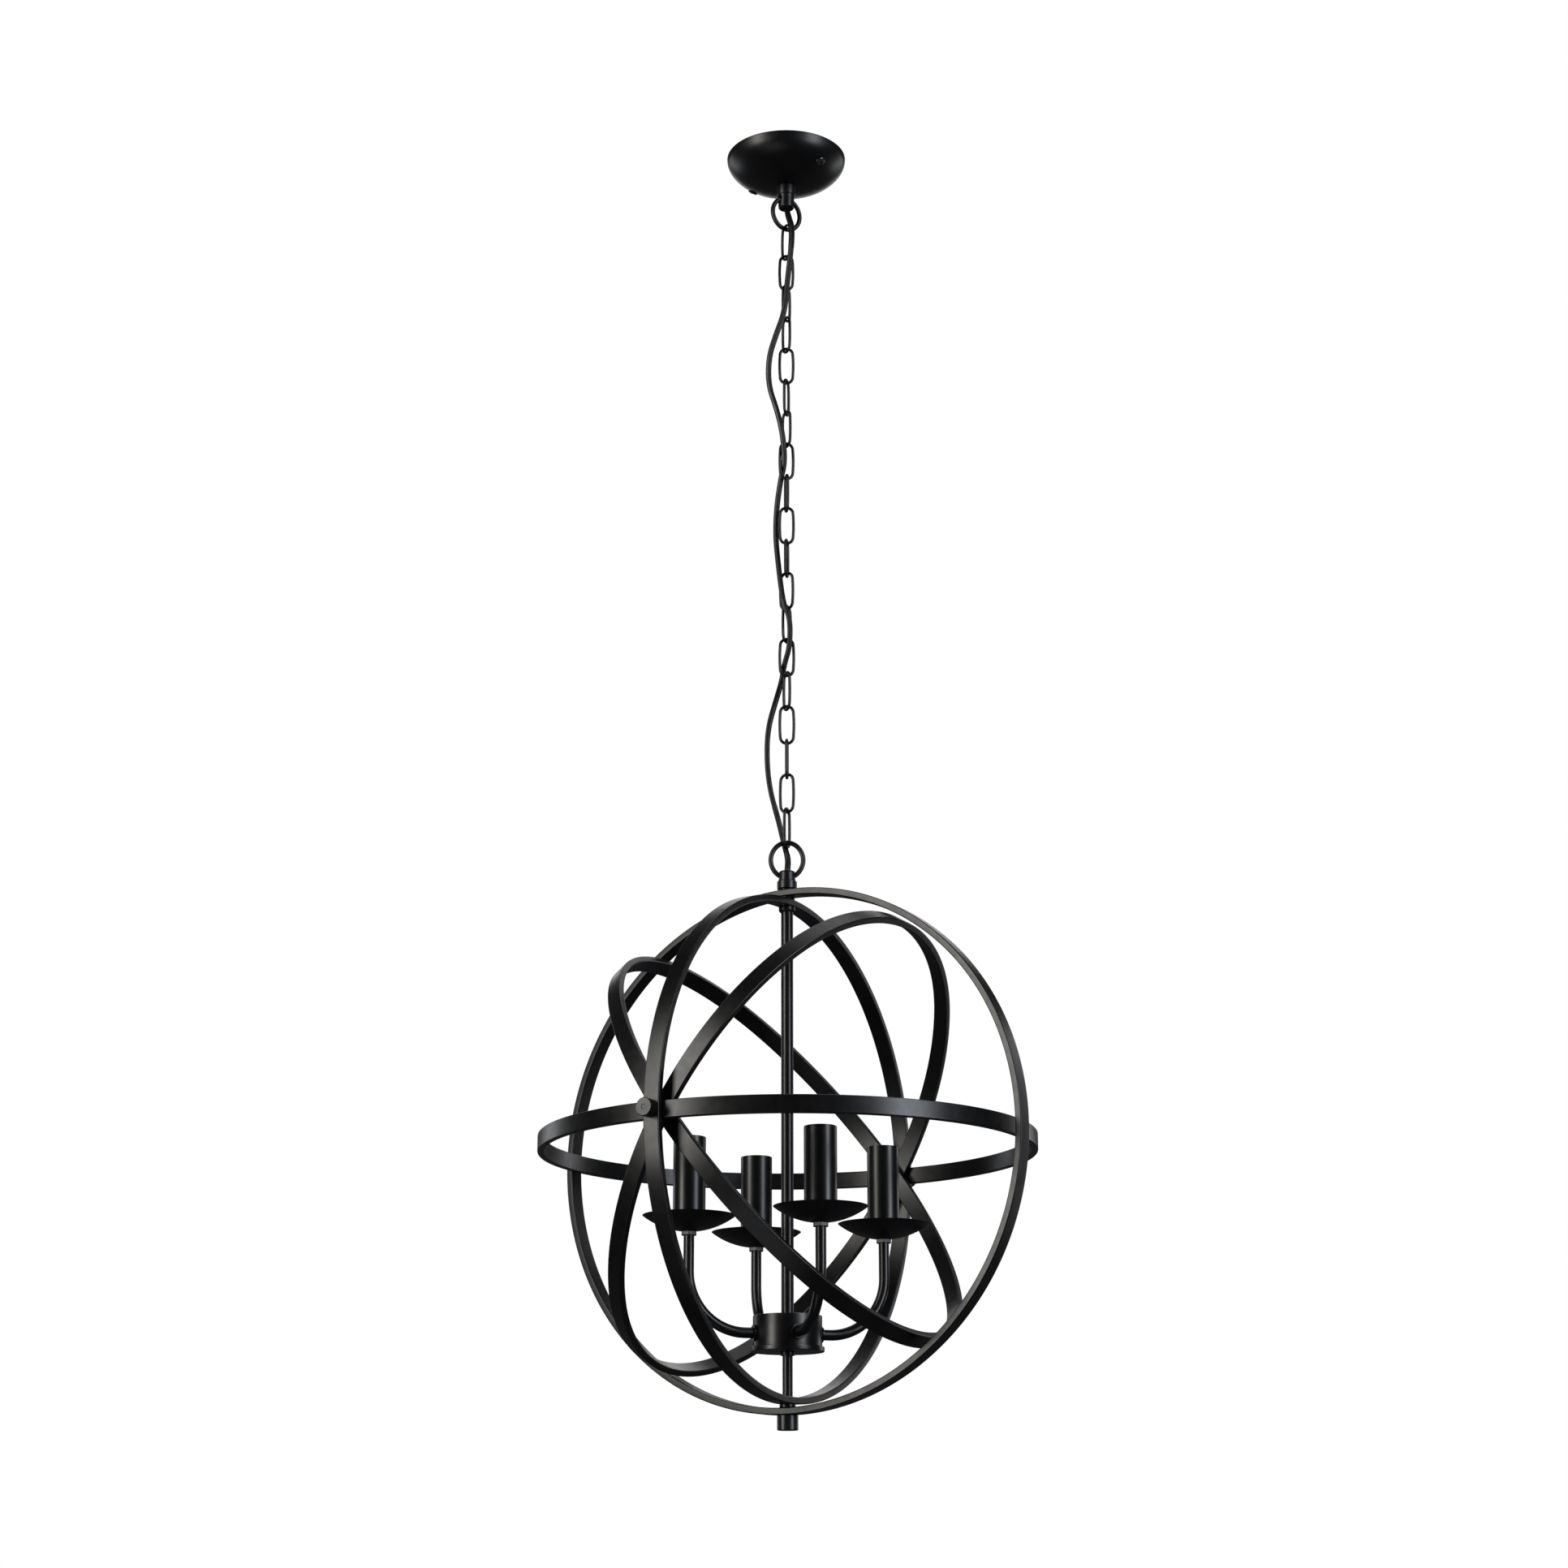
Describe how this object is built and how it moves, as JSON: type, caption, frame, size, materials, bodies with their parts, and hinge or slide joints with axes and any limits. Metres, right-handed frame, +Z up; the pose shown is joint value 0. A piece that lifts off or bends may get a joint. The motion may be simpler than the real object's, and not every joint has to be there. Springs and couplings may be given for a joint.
{
  "type": "orb chandelier",
  "caption": "Black steel orb chandelier: nested flat hoops round a candle cluster, hung from a domed ceiling canopy by a link chain with a woven supply cord.",
  "frame": {"origin": "middle of the ceiling bracket's upper face, in the plane of the ceiling and of the canopy's rim", "axes": "+Z up into the ceiling, the chandelier hangs along -Z; +X runs along the ceiling slots, to the right in the picture; +Y away from the picture's camera"},
  "size_m": [0.3794, 0.375, 1.0501],
  "materials": {
    "black_steel": "satin",
    "sleeve_black": "satin",
    "holder_plastic": "matte",
    "terminal_plastic": "matte",
    "zinc_steel": "satin",
    "cord_jacket": "satin"
  },
  "bodies": {
    "ceiling_mount": {"canopy": "black_steel", "ceiling_bracket": "zinc_steel", "canopy_screws": "black_steel", "terminal_block": "terminal_plastic", "canopy_collar": "black_steel", "canopy_nut": "zinc_steel"},
    "top_loop": {"top_loop_ring": "black_steel"},
    "chain": {"link_01": "black_steel", "link_02": "black_steel", "link_03": "black_steel", "link_04": "black_steel", "link_05": "black_steel", "link_06": "black_steel", "link_07": "black_steel", "link_08": "black_steel", "link_09": "black_steel", "link_10": "black_steel", "link_11": "black_steel", "link_12": "black_steel", "link_13": "black_steel", "link_14": "black_steel", "link_15": "black_steel", "link_16": "black_steel", "link_17": "black_steel", "link_18": "black_steel", "link_19": "black_steel", "supply_cord": "cord_jacket"},
    "bottom_loop": {"bottom_loop_ring": "black_steel"},
    "candle_cluster": {"stem_collar": "black_steel", "stem_hardware": "black_steel", "centre_stem": "black_steel", "hub_cup": "black_steel", "hub_cover": "black_steel", "lower_stem": "black_steel", "bottom_finial": "black_steel", "arm_1": "black_steel", "arm_2": "black_steel", "arm_3": "black_steel", "arm_4": "black_steel", "arm_ferrules": "black_steel", "cup_nuts": "black_steel", "drip_cup_1": "black_steel", "drip_cup_2": "black_steel", "drip_cup_3": "black_steel", "drip_cup_4": "black_steel", "candle_sleeve_1": "sleeve_black", "candle_sleeve_2": "sleeve_black", "candle_sleeve_3": "sleeve_black", "candle_sleeve_4": "sleeve_black", "lamp_holder_1": "holder_plastic", "lamp_holder_2": "holder_plastic", "lamp_holder_3": "holder_plastic", "lamp_holder_4": "holder_plastic"},
    "pivot_frame": {"pivot_ring": "black_steel", "pivot_bolts": "black_steel", "pivot_nuts": "black_steel"},
    "outer_hoop": {"outer_ring": "black_steel"},
    "equator_hoop": {"equator_ring": "black_steel"},
    "middle_hoop": {"middle_ring": "black_steel"},
    "inner_hoop": {"inner_ring": "black_steel"}
  },
  "joints": [
    {"name": "top_ring_swing", "type": "hinge", "parent": "ceiling_mount", "child": "top_loop", "pos_m": [0, 0, -0.03814], "axis": [0.8829, 0.4695, 0], "range_deg": [-10, 10]},
    {"name": "chain_swing", "type": "hinge", "parent": "top_loop", "child": "chain", "pos_m": [0, 0, -0.0652], "axis": [0.4695, -0.8829, 0], "range_deg": [-10, 10]},
    {"name": "bottom_ring_swing", "type": "hinge", "parent": "chain", "child": "bottom_loop", "pos_m": [0, 0, -0.60334], "axis": [0, 1, 0], "range_deg": [-10, 10]},
    {"name": "orb_swing", "type": "hinge", "parent": "bottom_loop", "child": "candle_cluster", "pos_m": [0, 0, -0.62701], "axis": [1, 0, 0], "range_deg": [-10, 10]},
    {"name": "frame_turn", "type": "hinge", "parent": "candle_cluster", "child": "pivot_frame", "pos_m": [0, 0, -0.83902], "axis": [0, 0, 1], "continuous": true},
    {"name": "outer_ring_turn", "type": "hinge", "parent": "pivot_frame", "child": "outer_hoop", "pos_m": [0, 0, -0.83902], "axis": [0, 0, 1], "range_deg": [-80, 80]},
    {"name": "equator_tilt", "type": "hinge", "parent": "pivot_frame", "child": "equator_hoop", "pos_m": [0, 0, -0.83902], "axis": [0.5, 0.866, 0], "range_deg": [-15, 15]},
    {"name": "middle_tilt", "type": "hinge", "parent": "pivot_frame", "child": "middle_hoop", "pos_m": [0, 0, -0.83902], "axis": [0.5, 0.866, 0], "range_deg": [-21, 16]},
    {"name": "inner_tilt", "type": "hinge", "parent": "pivot_frame", "child": "inner_hoop", "pos_m": [0, 0, -0.83902], "axis": [0.5, 0.866, 0], "range_deg": [-12, 26]}
  ]
}
